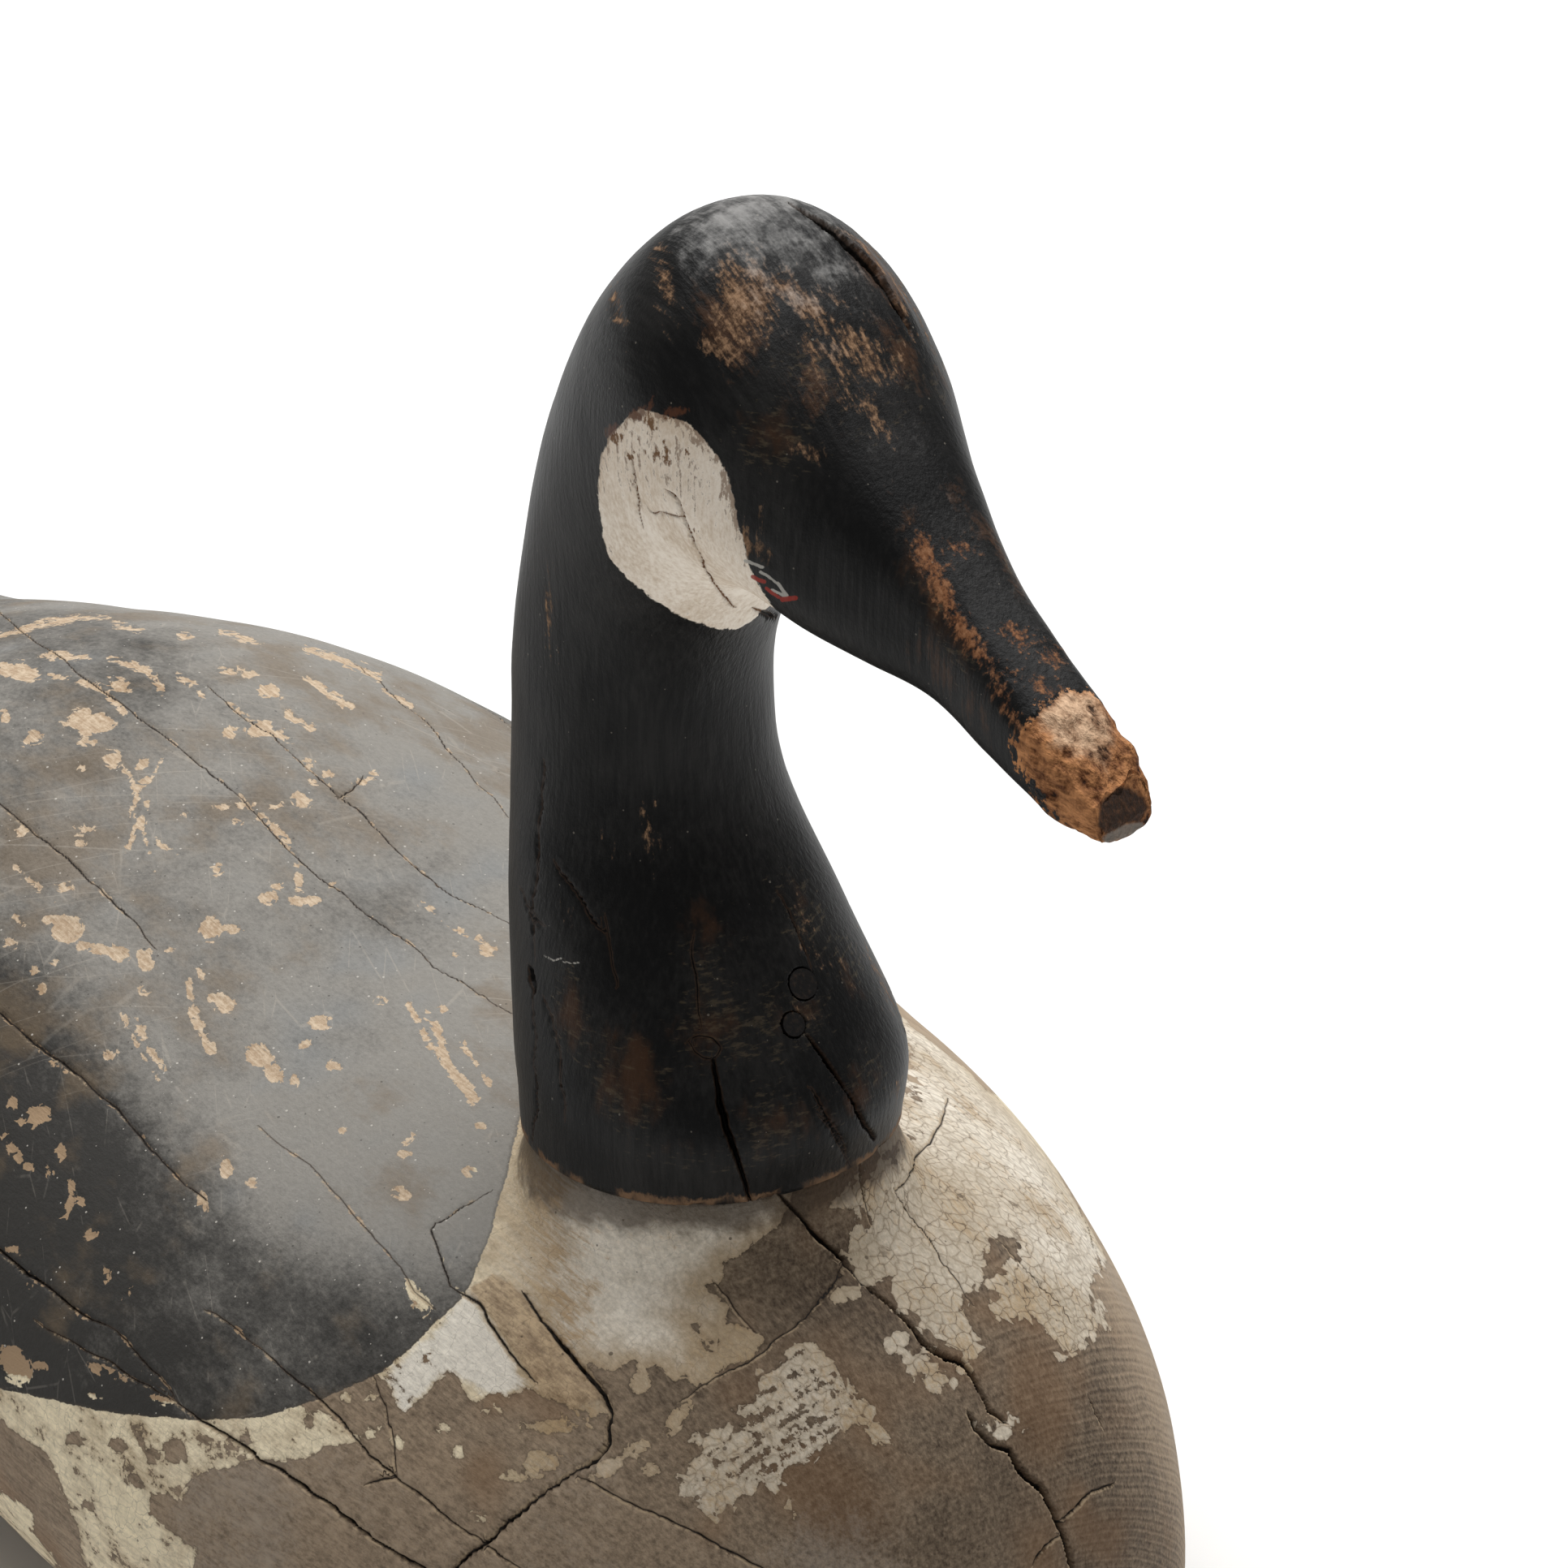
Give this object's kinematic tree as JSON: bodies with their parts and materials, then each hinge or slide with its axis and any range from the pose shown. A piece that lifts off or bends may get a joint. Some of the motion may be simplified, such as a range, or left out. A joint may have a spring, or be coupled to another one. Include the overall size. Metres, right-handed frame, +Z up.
{
  "type": "goose decoy",
  "caption": "Full-size carved wooden goose decoy: rounded body block with a flat underside and a separate upright neck and head, in worn black, grey and cream paint",
  "frame": {"origin": "middle of the decoy's box, on the ground plane under its flat underside", "axes": "+X the way the goose faces, +Y its left side, +Z up"},
  "size_m": [0.597, 0.244, 0.3725],
  "materials": {
    "body_paint": "flaking grey and cream paint over weathered grey-brown wood",
    "head_paint": "old black paint, rubbed to tan wood on the crown and bill, with a cream cheek patch",
    "plug_wood": "black paint over end grain, worn a little brown"
  },
  "bodies": {
    "root": {"body": "body_paint", "head_and_neck": "head_paint", "upper_neck_plug": "plug_wood", "lower_neck_plug": "plug_wood"}
  },
  "joints": []
}
